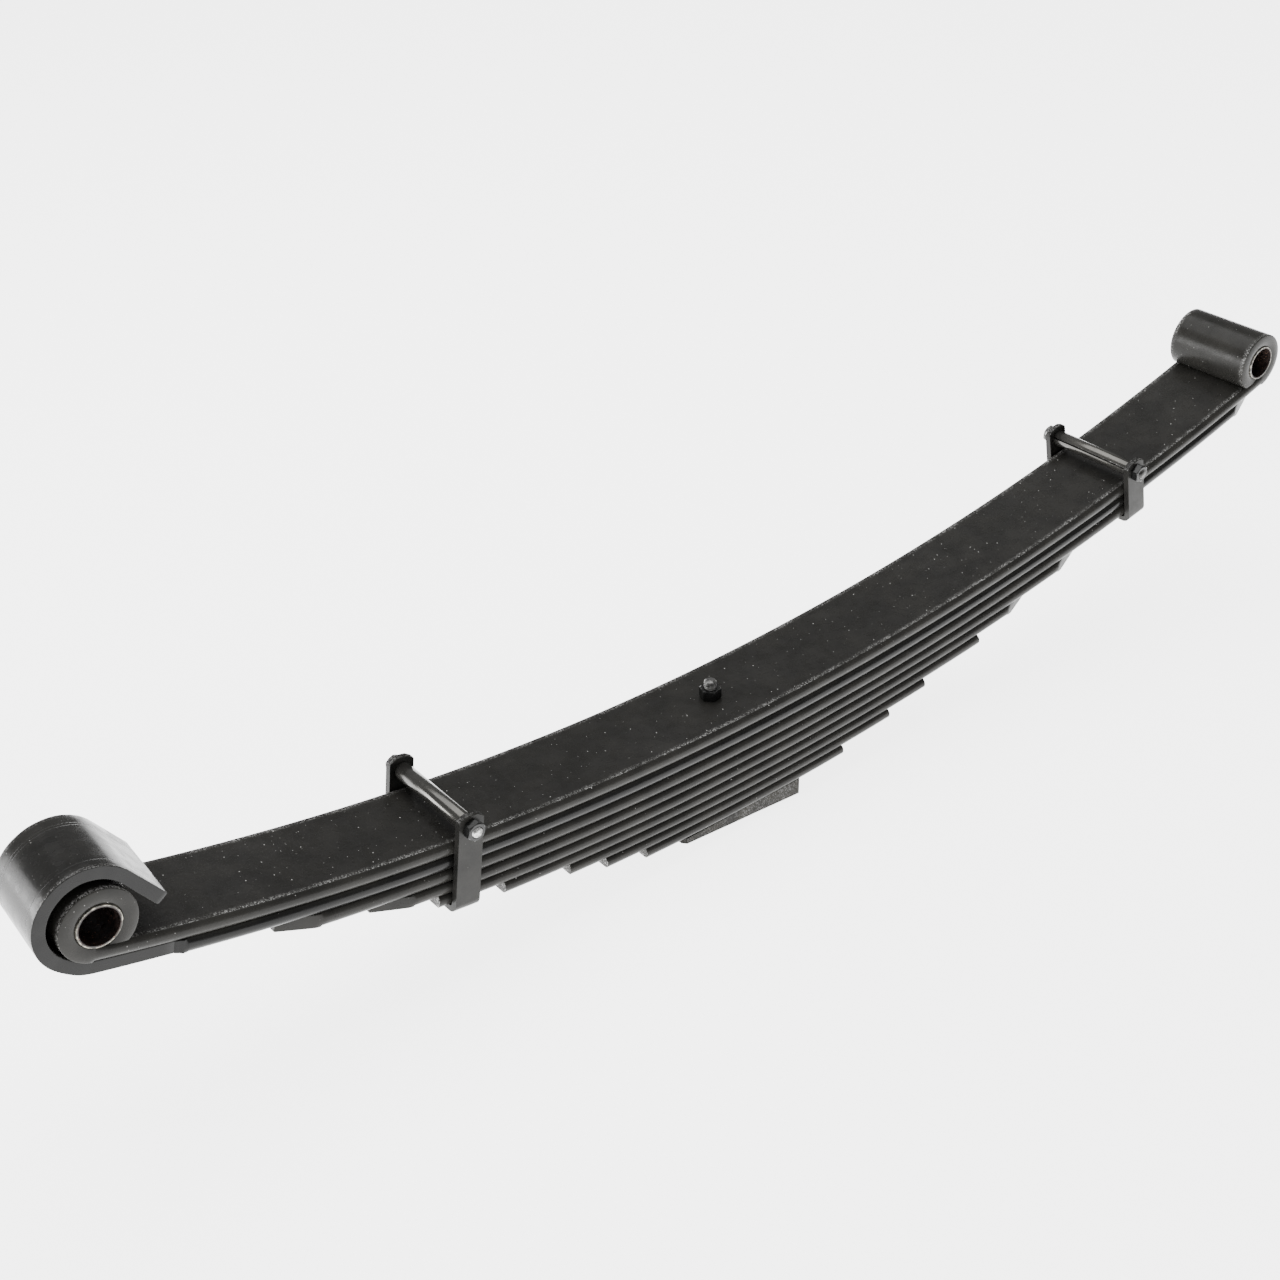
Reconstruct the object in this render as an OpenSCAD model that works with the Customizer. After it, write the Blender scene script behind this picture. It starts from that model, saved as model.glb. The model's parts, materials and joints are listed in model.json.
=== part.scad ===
// Semi-elliptic multi-leaf spring for a truck axle: nine leaves clamped by a centre bolt,
// bushed eyes at both ends, a military wrap on the front eye, two bolted rebound clips
// and a taper plate under the pack. Millimetres, +X to the rear eye, +Z up, +Y across.
// The origin is where the centre bolt's axis crosses the taper plate's sloping underside.

/* [Leaf stock] */
// width of every leaf over its round edges
leaf_width = 76.2; // [50:0.1:100]
// thickness of leaves 1 to 3
thick_top = 10.2; // [6:0.1:16]
// thickness of leaves 4 to 6
thick_mid = 9.1; // [6:0.1:16]
// thickness of leaves 7 to 9
thick_low = 8.2; // [6:0.1:16]
// round edge radius as a share of the leaf's thickness
edge_ratio = 0.75; // [0.6:0.05:1]

/* [Camber] */
// radius of the main leaf's upper face on the front arm
front_radius = 1812; // [1200:1:6000]
// radius of the main leaf's upper face on the rear arm
rear_radius = 2040; // [1200:1:6000]

/* [Leaf lengths, along the main leaf's upper face from the centre bolt] */
// main leaf, to the front eye's centre
front_arm = 496; // [300:1:900]
// main leaf, to the rear eye's centre
rear_arm = 595; // [300:1:900]
// front ends of leaves 3 to 9
front_ends = [375, 307, 260, 208, 154, 123, 88];
// rear ends of leaves 2 to 9
rear_ends = [588, 436, 364, 306, 244, 184, 146, 98];
// length of a diamond-cut tip
tip_length = 29; // [10:1:60]
// half width left at the end of a diamond-cut tip
tip_half = 28; // [10:0.5:38]

/* [Eyes and bushes] */
// radius inside each rolled eye
eye_radius = 14.5; // [10:0.1:25]
// steel shell of the bush
shell_wall = 1.0; // [0.5:0.1:3]
// bronze lining of the bush, so the bore takes a 25.4 mm pin
lining_wall = 0.75; // [0.3:0.05:2]
// radial room between shell and eye
bush_gap = 0.05; // [0.01:0.01:0.1]
// depth of the grease pockets in the lining
pocket_depth = 0.35; // [0.1:0.05:0.5]

/* [Military wrap on the front eye] */
// where the second leaf is trimmed narrower, from the centre bolt
trim_start = 437; // [400:1:480]
// length over which it narrows
trim_length = 9; // [2:1:20]
// half width of the trimmed wrap on its near side
wrap_half = 35.1; // [20:0.1:38]
// half width on its far side, which is trimmed deeper
wrap_far = 24.7; // [15:0.1:38]
// how far the loop leans inboard for each mm towards its far side
wrap_skew = 0.06; // [0:0.005:0.3]
// thickness of the wrap
wrap_thick = 8.7; // [5:0.1:12]
// gap between the wrap and the main leaf under the eye
wrap_gap = 0.3; // [0.1:0.1:2]
// inner radius of the loose loop
loop_radius = 26.3; // [25:0.1:40]
// loop's centre outboard of and above the eye's centre
loop_centre = [4.5, 3.6];
// radius that joins the loop to the part under the eye
blend_radius = 60; // [40:1:120]
// angle of the straight tail below the leaf's direction
tail_angle = 38.8; // [10:0.1:80]
// length of the straight tail
tail_length = 32.3; // [10:0.1:60]

/* [Rebound clips] */
// front clip's place, from the centre bolt
front_clip_at = 242; // [150:1:400]
// rear clip's place, from the centre bolt
rear_clip_at = 424.5; // [200:0.5:500]
// leaves inside the front clip
front_clip_leaves = 5; // [2:1:9]
// leaves inside the rear clip
rear_clip_leaves = 3; // [2:1:9]
// width and thickness of the strap
strap = [19, 4.8];
// room between strap and leaves
strap_gap = 0.6; // [0.1:0.1:3]
// radius inside the strap's bends
strap_bend = 3; // [1:0.5:10]
// height of the arm's corners above the main leaf, and of the crown over them
arm_top = [19.5, 2.5];
// height of the clip bolt's axis above the main leaf
clip_bolt_height = 12.2; // [8:0.1:30]
// clip bolt diameter
clip_bolt_d = 7.9; // [5:0.1:12]
// its hex, across the flats
clip_hex = 12.7; // [8:0.1:20]
// nut height and head height
clip_nut_h = 6.5; // [3:0.1:12]
clip_head_h = 5.6; // [3:0.1:12]
// bolt end past the nut
clip_bolt_past = 1.4; // [0:0.1:10]
// outside diameter of the spacer tube
tube_d = 12.4; // [10:0.1:25]
// rivet shank diameter and head diameter
rivet_d = [7.8, 14];

/* [Centre bolt] */
// bolt diameter
centre_d = 9.5; // [6:0.1:20]
// nut across the flats, nut height
centre_nut = [14.3, 8.4];
// thread above the nut
centre_past = 6; // [0:0.5:20]
// round head: diameter, height
centre_head = [16, 9];
// depth of the plate's flat seat over the head, and its room around the head
centre_seat = [0.8, 1.5];

/* [Taper plate] */
// length and width
plate_size = [118, 72.4];
// how far its middle lies behind the centre bolt
plate_back = 2; // [0:0.1:10]
// cut across each of its upright corners
plate_corner = 3.5; // [0:0.1:10]
// thickness at the centre bolt
plate_mid = 9.1; // [4:0.1:20]
// taper angle, thick end to the rear
plate_taper = 4.5; // [0:0.1:10]

/* [Hidden] */
$fn = 96;
FRONT = 0;
REAR = 1;
thick = [for (i = [0:8]) i < 3 ? thick_top : i < 6 ? thick_mid : thick_low];
function depth(n) = n == 0 ? 0 : thick[n - 1] + depth(n - 1);
pack_height = plate_mid + depth(9);
radius = [front_radius, rear_radius];
arm = [front_arm, rear_arm];
clip_at = [front_clip_at, rear_clip_at];
clip_leaves = [front_clip_leaves, rear_clip_leaves];
hole_r = centre_d / 2 + 0.15;
rivet_room = 0.4;
strap_in = leaf_width / 2 + strap_gap;
strap_out = strap_in + strap[1];
bolt_end = strap_out + clip_nut_h + clip_bolt_past;
shell_r = eye_radius - bush_gap;
bore_r = shell_r - shell_wall - lining_wall;
past = 1;
step = 0.05;

// blend arc's centre: the far crossing of two circles about the eye's and the loop's centres
wrap_r = eye_radius + thick_top + wrap_gap;
to_eye = blend_radius - wrap_r;
to_loop = blend_radius - loop_radius;
loop_off = norm(loop_centre);
along = (pow(to_eye, 2) - pow(to_loop, 2) + pow(loop_off, 2)) / (2 * loop_off);
side = sqrt(pow(to_eye, 2) - pow(along, 2));
dir = loop_centre / loop_off;
blend_centre = [dir[0] * along - dir[1] * side, dir[1] * along + dir[0] * side];
blend_from = atan2(-blend_centre[1], -blend_centre[0]);
blend_to = atan2(loop_centre[1] - blend_centre[1], loop_centre[0] - blend_centre[0]);
tail_from = 90 + tail_angle;

// puts the front arm's parts on -X; they are drawn as a rear arm
module on_arm(which) {
    if (which == FRONT) mirror([1, 0, 0]) children(); else children();
}

// local frame on the main leaf's upper face, s along the arm; +x outboard, +z off the leaf
module at_arm(which, s) {
    on_arm(which) translate([0, 0, pack_height + radius[which]])
        rotate([0, -s / radius[which] * 180 / PI, 0]) translate([0, 0, -radius[which]]) children();
}

// bar with convex round edges, thickness along x, width along y
module bar_section(t) {
    r = edge_ratio * t;
    c = leaf_width / 2 - r;
    intersection() {
        square([t, leaf_width], center = true);
        union() {
            square([t, 2 * c + 2 * sqrt(r * r - t * t / 4)], center = true);
            for (s = [-1, 1]) translate([0, s * c]) circle(r);
        }
    }
}

// sweeps a section about the arm's centre of curvature from the centre bolt to length s
module sweep_arm(which, s0, s1) {
    k = 180 / PI / radius[which];
    on_arm(which) translate([0, 0, pack_height + radius[which]]) rotate([90, 0, 0])
        rotate([0, 0, -90 + s0 * k]) rotate_extrude(angle = (s1 - s0) * k) children();
}

module arm_bar(which, n, s) {
    sweep_arm(which, 0, s)
        translate([radius[which] + depth(n - 1) + thick[n - 1] / 2, 0]) bar_section(thick[n - 1]);
}

// corners to take off for a diamond-cut tip that ends at s
module diamond_cut(which, n, s) {
    out = leaf_width / 2 + past;
    slope = (leaf_width / 2 - tip_half) / tip_length;
    at_arm(which, s) translate([0, 0, -depth(n) - 5]) linear_extrude(thick[n - 1] + 10)
        for (m = [0, 1]) mirror([0, m]) polygon([[-tip_length - past / slope, out],
            [8, tip_half - 8 * slope], [8, out]]);
}

module centre_hole() {
    cylinder(h = pack_height + past, r = hole_r);
}

// rivet hole with its countersink in the upper face of the lowest leaf in a clip
module rivet_hole(which) {
    n = clip_leaves[which];
    at_arm(which, clip_at[which]) {
        translate([0, 0, -depth(n) - past]) cylinder(h = thick[n - 1] + 2 * past,
            r = rivet_d[0] / 2 + rivet_room);
        translate([0, 0, -depth(n - 1) - 3.4]) cylinder(h = 3.6,
            r1 = rivet_d[0] / 2 + rivet_room, r2 = rivet_d[0] / 2 + rivet_room + 3.6);
    }
}

// square or diamond-cut leaf with its bolt hole
module plain_leaf(n, cut_front, cut_rear) {
    difference() {
        union() {
            arm_bar(FRONT, n, front_ends[n - 3]);
            arm_bar(REAR, n, rear_ends[n - 2]);
        }
        if (cut_front) diamond_cut(FRONT, n, front_ends[n - 3]);
        if (cut_rear) diamond_cut(REAR, n, rear_ends[n - 2]);
        centre_hole();
        for (w = [FRONT, REAR]) if (clip_leaves[w] == n) rivet_hole(w);
    }
}

// upturned eye, a step thinner than the bar that it grows out of, with its edges broken;
// its end is cut to lie on the leaf
module eye(which) {
    t = thick_top / 2 - step;
    w = leaf_width / 2 - step;
    at_arm(which, arm[which]) translate([0, 0, eye_radius]) difference() {
        rotate([90, 0, 0]) rotate(-93) rotate_extrude(angle = 355)
            translate([eye_radius + thick_top / 2, 0]) polygon([[-t, 2 - w], [-t / 3, -w],
                [t / 3, -w], [t, 2 - w], [t, w - 2], [t / 3, w], [-t / 3, w], [-t, w - 2]]);
        translate([-60, -60, -60]) cube([59, 120, 60 - eye_radius + 0.4]);
    }
}

module main_leaf() {
    color("#3b3c3e") difference() {
        union() {
            for (w = [FRONT, REAR]) {
                arm_bar(w, 1, arm[w]);
                eye(w);
            }
        }
        centre_hole();
    }
}

function arc(c, r, a0, a1) = let (n = ceil((a1 - a0) / 3))
    [for (i = [0:n]) let (a = a0 + (a1 - a0) * i / n) c + r * [cos(a), sin(a)]];

function reversed(list) = [for (i = [len(list) - 1:-1:0]) list[i]];

// one side of the loose wrap about the eye's centre, out to distance t from its inner face
function wrap_line(t) = concat(
    arc([0, 0], wrap_r + t, -91.5, blend_from),
    arc(blend_centre, blend_radius + t, blend_from, blend_to),
    arc(loop_centre, loop_radius + t, blend_to, tail_from),
    [loop_centre + (loop_radius + t) * [cos(tail_from), sin(tail_from)]
        + tail_length * [-sin(tail_from), cos(tail_from)]]);

// cuts that narrow and thin the leaf from its bar section to the wrap's
module trim_cuts() {
    lift = (thick_top - wrap_thick - wrap_gap - step) / trim_length;
    end = trim_length + past;
    at_arm(FRONT, trim_start) {
        translate([0, 0, -depth(2) - 4]) linear_extrude(20)
            for (side = [[-1, wrap_half + step], [1, wrap_far + step]])
                let (slope = (leaf_width / 2 - side[1]) / trim_length)
                    polygon([[-past, side[0] * (leaf_width / 2 + past * slope)],
                        [trim_length, side[0] * side[1]], [end, side[0] * side[1]],
                        [end, side[0] * leaf_width], [-past, side[0] * leaf_width]]);
        rotate([90, 0, 0]) translate([0, 0, -leaf_width]) linear_extrude(2 * leaf_width)
            polygon([[-past, -depth(2) - past * lift], [trim_length, -depth(2) + trim_length * lift],
                [end, -depth(2) + trim_length * lift], [end, -depth(2) - 6], [-past, -depth(2) - 6]]);
    }
}

module wrapper_leaf() {
    color("#3f4042") difference() {
        union() {
            difference() {
                arm_bar(FRONT, 2, trim_start + trim_length);
                trim_cuts();
            }
            arm_bar(REAR, 2, rear_ends[0]);
            sweep_arm(FRONT, trim_start + past, front_arm)
                translate([front_radius + depth(1) + wrap_gap, -wrap_half])
                    square([wrap_thick, wrap_half + wrap_far]);
            at_arm(FRONT, front_arm) difference() {
                multmatrix([[1, -wrap_skew, 0, -wrap_skew * wrap_half], [0, 1, 0, 0], [0, 0, 1, 0]])
                    translate([0, wrap_far - step, eye_radius]) rotate([90, 0, 0])
                        linear_extrude(wrap_half + wrap_far - 2 * step)
                            polygon(concat(wrap_line(step), reversed(wrap_line(wrap_thick - step))));
                translate([0, 0, eye_radius]) rotate([90, 0, 0])
                    cylinder(h = 2 * leaf_width, r = wrap_r - 2 * step, center = true);
                translate([-20, -leaf_width, -thick_top - wrap_gap + 3 * step])
                    cube([20, 2 * leaf_width, eye_radius + thick_top]);
            }
        }
        diamond_cut(REAR, 2, rear_ends[0]);
        centre_hole();
    }
}

module leaf_3() { color("#3a3b3d") plain_leaf(3, true, false); }
module leaf_4() { color("#3d3e40") plain_leaf(4, true, true); }
module leaf_5() { color("#393a3c") plain_leaf(5, false, true); }
module leaf_6() { color("#3c3d3f") plain_leaf(6, false, false); }
module leaf_7() { color("#3a3b3d") plain_leaf(7, false, false); }
module leaf_8() { color("#3d3e40") plain_leaf(8, false, false); }
module leaf_9() { color("#3b3c3e") plain_leaf(9, false, false); }

// wedge with a flat seat square to the centre bolt for its head
module taper_plate() {
    half = plate_size / 2;
    ends = [plate_back - half[0], plate_back + half[0]];
    color("#5c5750") difference() {
        intersection() {
            translate([0, half[1] + past, 0]) rotate([90, 0, 0]) linear_extrude(plate_size[1] + 2 * past)
                polygon([[ends[0], plate_mid], [ends[1], plate_mid],
                    [ends[1], -ends[1] * tan(plate_taper)], [ends[0], -ends[0] * tan(plate_taper)]]);
            translate([plate_back, 0, -3 * plate_mid]) linear_extrude(6 * plate_mid) hull() {
                square([plate_size[0] - 2 * plate_corner, plate_size[1]], center = true);
                square([plate_size[0], plate_size[1] - 2 * plate_corner], center = true);
            }
        }
        translate([0, 0, -plate_mid]) cylinder(h = 3 * plate_mid, r = hole_r);
        translate([0, 0, -plate_mid]) cylinder(h = plate_mid + centre_seat[0],
            r = centre_head[0] / 2 + centre_seat[1]);
    }
}

// hexagon with both faces chamfered at 30 degrees
module hex(flats, h) {
    in = flats / 2 * 0.97;
    out = flats / sqrt(3) + 0.2;
    drop = (out - in) * tan(30);
    intersection() {
        linear_extrude(h) circle(r = flats / sqrt(3), $fn = 6);
        rotate_extrude() polygon([[0, 0], [in, 0], [out, drop], [out, h - drop], [in, h], [0, h]]);
    }
}

module centre_bolt() {
    seat = centre_seat[0];
    top = pack_height + centre_nut[1] + centre_past;
    color("#77787a") {
        translate([0, 0, seat - centre_head[1]]) {
            cylinder(h = 1, r1 = centre_head[0] / 2 - 1, r2 = centre_head[0] / 2);
            translate([0, 0, 1]) cylinder(h = centre_head[1] - 1, r = centre_head[0] / 2);
        }
        translate([0, 0, seat]) cylinder(h = top - 1 - seat, r = centre_d / 2);
        translate([0, 0, top - 1]) cylinder(h = 1, r1 = centre_d / 2, r2 = centre_d / 2 - 1);
    }
}

module centre_bolt_nut() {
    color("#313234") translate([0, 0, pack_height + 0.05]) difference() {
        hex(centre_nut[0], centre_nut[1]);
        translate([0, 0, -past]) cylinder(h = centre_nut[1] + 2 * past, r = centre_d / 2 + 0.03);
    }
}

module along_eye(which) {
    at_arm(which, arm[which]) translate([0, 0, eye_radius]) rotate([90, 0, 0]) children();
}

module bush_shell(which) {
    color("#8d8b86") along_eye(which) difference() {
        cylinder(h = leaf_width, r = shell_r, center = true);
        cylinder(h = leaf_width + 2 * past, r = shell_r - shell_wall, center = true);
    }
}

// bronze lining with rows of round grease pockets
module bush_lining(which) {
    color("#7d5138") along_eye(which) difference() {
        cylinder(h = leaf_width, r = shell_r - shell_wall, center = true);
        cylinder(h = leaf_width + 2 * past, r = bore_r, center = true);
        for (i = [-2:2], j = [0:7]) translate([0, 0, i * 13]) rotate([0, 0, j * 45 + (i + 2) * 22.5])
            translate([bore_r - 1, 0, 0]) rotate([0, 90, 0])
                cylinder(h = 1 + pocket_depth, r = 1.6, $fn = 24);
    }
}

module front_bush_shell() { bush_shell(FRONT); }
module front_bush_lining() { bush_lining(FRONT); }
module rear_bush_shell() { bush_shell(REAR); }
module rear_bush_lining() { bush_lining(REAR); }

// quarter bend of the strap about its inner corner
module strap_corner(y, z) {
    translate([y, z]) intersection() {
        difference() {
            circle(strap_bend + strap[1]);
            circle(strap_bend);
        }
        translate([0, -20]) square(20);
    }
}

module clip_strap(which) {
    low = depth(clip_leaves[which]) + 0.3;
    crown = (pow(strap[0] / 2, 2) + pow(arm_top[1], 2)) / (2 * arm_top[1]);
    color("#454648") at_arm(which, clip_at[which]) difference() {
        rotate([90, 0, 90]) translate([0, 0, -strap[0] / 2]) linear_extrude(strap[0]) {
            translate([-strap_in + strap_bend, -low - strap[1]])
                square([2 * (strap_in - strap_bend), strap[1]]);
            for (m = [0, 1]) mirror([m, 0]) {
                strap_corner(strap_in - strap_bend, -low + strap_bend);
                translate([strap_in, -low + strap_bend])
                    square([strap[1], low - strap_bend + arm_top[0] + arm_top[1]]);
            }
        }
        translate([0, 0, arm_top[0] + arm_top[1] - crown]) rotate([90, 0, 0]) difference() {
            translate([-strap[0], 0, -60]) cube([2 * strap[0], 2 * crown, 120]);
            cylinder(h = 140, r = crown, center = true);
        }
        translate([0, 0, clip_bolt_height]) rotate([90, 0, 0])
            cylinder(h = 120, r = clip_bolt_d / 2 + 0.2, center = true);
        translate([0, 0, -low - strap[1] - past]) cylinder(h = strap[1] + 2 * past,
            r = rivet_d[0] / 2 + 0.05);
    }
}

// hex bolt with its head on +Y and its end on -Y
module clip_bolt(which) {
    color("#a5a39d") at_arm(which, clip_at[which]) translate([0, 0, clip_bolt_height])
        rotate([90, 0, 0]) {
            translate([0, 0, -strap_out]) cylinder(h = strap_out + bolt_end - 0.8, r = clip_bolt_d / 2);
            translate([0, 0, bolt_end - 0.8]) cylinder(h = 0.8, r1 = clip_bolt_d / 2,
                r2 = clip_bolt_d / 2 - 0.8);
            translate([0, 0, -strap_out]) mirror([0, 0, 1]) hex(clip_hex, clip_head_h);
        }
}

module clip_nut(which) {
    color("#2c2d2f") at_arm(which, clip_at[which]) translate([0, -strap_out, clip_bolt_height])
        rotate([90, 0, 0]) difference() {
            hex(clip_hex, clip_nut_h);
            translate([0, 0, -past]) cylinder(h = clip_nut_h + 2 * past, r = clip_bolt_d / 2 + 0.03);
        }
}

module clip_tube(which) {
    color("#56534d") at_arm(which, clip_at[which]) translate([0, 0, clip_bolt_height])
        rotate([90, 0, 0]) difference() {
            cylinder(h = 2 * strap_in, r = tube_d / 2, center = true);
            cylinder(h = 2 * strap_in + 2 * past, r = clip_bolt_d / 2 + 0.3, center = true);
        }
}

// button head under the strap, flush head in the leaf's countersink
module clip_rivet(which) {
    n = clip_leaves[which];
    under = depth(n) + 0.3 + strap[1];
    top = depth(n - 1) + 0.4;
    r = rivet_d[0] / 2;
    ball = (pow(rivet_d[1] / 2, 2) + 16) / 8;
    color("#4b4c4e") at_arm(which, clip_at[which]) {
        translate([0, 0, -under]) cylinder(h = under - top, r = r);
        translate([0, 0, -top - 3]) cylinder(h = 3, r1 = r, r2 = r + 3);
        translate([0, 0, -under]) intersection() {
            translate([0, 0, ball - 4]) sphere(ball);
            translate([0, 0, -5]) cylinder(h = 5, r = rivet_d[1]);
        }
    }
}

module front_clip_strap() { clip_strap(FRONT); }
module front_clip_bolt() { clip_bolt(FRONT); }
module front_clip_nut() { clip_nut(FRONT); }
module front_clip_tube() { clip_tube(FRONT); }
module front_clip_rivet() { clip_rivet(FRONT); }
module rear_clip_strap() { clip_strap(REAR); }
module rear_clip_bolt() { clip_bolt(REAR); }
module rear_clip_nut() { clip_nut(REAR); }
module rear_clip_tube() { clip_tube(REAR); }
module rear_clip_rivet() { clip_rivet(REAR); }

main_leaf();
wrapper_leaf();
leaf_3();
leaf_4();
leaf_5();
leaf_6();
leaf_7();
leaf_8();
leaf_9();
taper_plate();
centre_bolt();
centre_bolt_nut();
front_bush_shell();
front_bush_lining();
rear_bush_shell();
rear_bush_lining();
front_clip_strap();
front_clip_bolt();
front_clip_nut();
front_clip_tube();
front_clip_rivet();
rear_clip_strap();
rear_clip_bolt();
rear_clip_nut();
rear_clip_tube();
rear_clip_rivet();
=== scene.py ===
"""Leaf spring: the looks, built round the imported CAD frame. Lengths are in metres."""

import json
import math

import bmesh
import bpy
from mathutils import Matrix, Vector, noise


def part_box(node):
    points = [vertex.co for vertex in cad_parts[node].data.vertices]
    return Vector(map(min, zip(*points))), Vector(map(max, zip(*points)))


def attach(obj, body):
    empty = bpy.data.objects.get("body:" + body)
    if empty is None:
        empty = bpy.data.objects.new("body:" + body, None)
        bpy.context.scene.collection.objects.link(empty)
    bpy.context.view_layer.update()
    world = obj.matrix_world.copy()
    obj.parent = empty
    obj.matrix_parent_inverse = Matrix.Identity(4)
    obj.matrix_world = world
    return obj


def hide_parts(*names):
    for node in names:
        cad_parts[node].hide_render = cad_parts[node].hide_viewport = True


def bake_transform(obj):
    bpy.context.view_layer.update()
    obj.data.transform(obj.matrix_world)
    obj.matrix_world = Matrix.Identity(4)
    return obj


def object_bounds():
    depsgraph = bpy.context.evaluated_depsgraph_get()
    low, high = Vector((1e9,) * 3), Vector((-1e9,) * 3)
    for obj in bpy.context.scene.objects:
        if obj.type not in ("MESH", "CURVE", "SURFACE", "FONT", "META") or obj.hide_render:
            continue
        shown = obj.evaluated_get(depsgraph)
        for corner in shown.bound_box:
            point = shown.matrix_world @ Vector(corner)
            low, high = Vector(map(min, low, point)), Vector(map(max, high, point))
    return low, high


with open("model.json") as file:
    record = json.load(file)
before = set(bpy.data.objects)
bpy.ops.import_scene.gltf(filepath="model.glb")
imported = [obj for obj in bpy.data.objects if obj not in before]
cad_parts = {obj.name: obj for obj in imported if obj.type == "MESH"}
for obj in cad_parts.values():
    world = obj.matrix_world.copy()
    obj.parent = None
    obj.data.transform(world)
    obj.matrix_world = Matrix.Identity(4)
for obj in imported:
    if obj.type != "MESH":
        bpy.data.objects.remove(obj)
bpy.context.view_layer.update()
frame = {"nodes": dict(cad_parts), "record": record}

MM = 0.001

# ---------------------------------------------------------------- leaves and eyes
WIDTH = 76.2 * MM
THICK = [10.2 * MM] * 3 + [9.1 * MM] * 3 + [8.2 * MM] * 3
EDGE_BULGE = 0.28  # how far a leaf's round edge bulges, as a share of its thickness
EDGE_FILLET = 1.8 * MM
RING_STEP = 8 * MM  # distance between a leaf's rings
END_BEVEL = 0.35 * MM
RADIUS = {"front": 1812 * MM, "rear": 2040 * MM}
ARM = {"front": 496 * MM, "rear": 595 * MM}
LEAF_ENDS = {
    "front": [375, 307, 260, 208, 154, 123, 88],
    "rear": [436, 364, 306, 244, 184, 146, 98],
}
DIAMOND = {("front", 3), ("front", 4), ("rear", 4), ("rear", 5)}
TIP_LENGTH = 29 * MM
TIP_HALF = 28 * MM
EYE_INNER = 14.5 * MM
EYE_FILLET = 3.2 * MM
EYE_SWEEP = 342  # degrees that the main leaf turns round its eye
EYE_STEPS = 68
EYE_END_GAP = 0.45 * MM  # between the rolled end and the leaf under it
BUSH_OUTER = 14.45 * MM
BUSH_WALL = 1.0 * MM
BLEND_FROM = 57 * MM
BLEND_TO = {"front": 440 * MM, "rear": 560 * MM}

# ---------------------------------------------------------------- second leaf and its wrap
WRAPPER_REAR = 588 * MM
TRIM_START = 437 * MM
TRIM_END = 446 * MM
WRAP_HALF = 35.1 * MM
WRAP_FAR = 24.7 * MM
WRAP_SKEW = 0.06  # how far the wrap leans inboard for each unit across the leaf
WRAP_THICK = 8.7 * MM
WRAP_GAP = 0.3 * MM
WRAP_FILLET = 0.5 * MM
WRAP_ROOM = 24.9 * MM  # the nearest that the wrap comes to the eye's centre
WRAP_BEVEL = 0.4 * MM
GROOVES = ((12.5 * MM, 0.4 * MM), (15 * MM, 0.3 * MM), (-27 * MM, 0.3 * MM))  # place across, width
LOOP_RADIUS = 26.3 * MM
LOOP_CENTRE = Vector((4.5 * MM, 3.6 * MM))
BLEND_RADIUS = 60 * MM
TAIL_ANGLE = 38.8  # degrees past the top of the loop
TAIL_LENGTH = 32.3 * MM

# ---------------------------------------------------------------- clips
CLIP_AT = {"front": 242 * MM, "rear": 424.5 * MM}
CLIP_LEAVES = {"front": 5, "rear": 3}
STRAP_WIDTH = 19 * MM
STRAP_THICK = 4.8 * MM
STRAP_IN = WIDTH / 2 + 0.6 * MM
STRAP_OUT = STRAP_IN + STRAP_THICK
STRAP_BEND = 3 * MM
STRAP_GAP = 0.3 * MM  # between the strap's bottom and the lowest leaf in it
STRAP_ROOM = 0.4 * MM  # taken off the inside of the strap's bottom, for the leaves' bending
STRAP_TOP = 18.6 * MM
STRAP_CROWN = 3.4 * MM
STRAP_FILLET = 0.7 * MM
STRAP_BEVEL = 0.5 * MM
BOLT_HEIGHT = 12.2 * MM
BOLT_R = 3.95 * MM
BOLT_PAST = 1.4 * MM
CLIP_HEX = 12.7 * MM
CLIP_NUT = 6.5 * MM
CLIP_HEAD = 5.6 * MM
CLIP_PITCH = 1.41 * MM
CLIP_TURN = {"front": 0.35, "rear": 0.12}  # the bolt head's turn in radians
CLIP_NUT_TURN = 0.3  # the nut's turn past the head's
TUBE_R = 6.2 * MM
TUBE_WALL = 2.4 * MM
TUBE_SEAM = math.radians(7)
TUBE_SEAM_AT = {"front": math.radians(200), "rear": math.radians(150)}

# ---------------------------------------------------------------- centre bolt and plate
CENTRE_R = 4.75 * MM
CENTRE_HEX = 14.3 * MM
CENTRE_NUT = 8.4 * MM
CENTRE_PAST = 6 * MM
CENTRE_HEAD = 9 * MM
CENTRE_HEAD_R = 8 * MM
CENTRE_SEAT = 0.8 * MM
CENTRE_PITCH = 1.59 * MM
CENTRE_TURN = 0.2
PLATE_ENDS = (-57 * MM, 61 * MM)
PLATE_CORNER = 3.5 * MM
PLATE_WIDTH = 72.4 * MM
PLATE_MID = 9.1 * MM
PLATE_TAPER = math.radians(4.5)
HEX_CHAMFER = math.radians(28)
THREAD_STEPS = 40

# ---------------------------------------------------------------- camera and light settings
CAMERA_PLACE = Vector((-0.75195, -0.87647, 0.88882))
CAMERA_TURN = (-38.133, 32.902, -1.508)  # azimuth, elevation and roll in degrees
CAMERA_LENS = 53.95
CAMERA_SENSOR = 36
FLOOR_HALF = 6.0
FLOOR_GLOW = 4.0
WORLD_GLOW = 0.42

SIGN = {"front": -1, "rear": 1}

top_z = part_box("centre_bolt_nut")[0].z - 0.05 * MM
depth = [sum(THICK[:n]) for n in range(10)]


# ---------------------------------------------------------------- places
def on_arm(which, s, height=0.0, y=0.0):
    """A point at arc length s along an arm, at a height off the main leaf's upper face."""
    turn = s / RADIUS[which]
    reach = RADIUS[which] - height
    x = SIGN[which] * reach * math.sin(turn)
    return Vector((x, y, top_z + RADIUS[which] - reach * math.cos(turn)))


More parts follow.
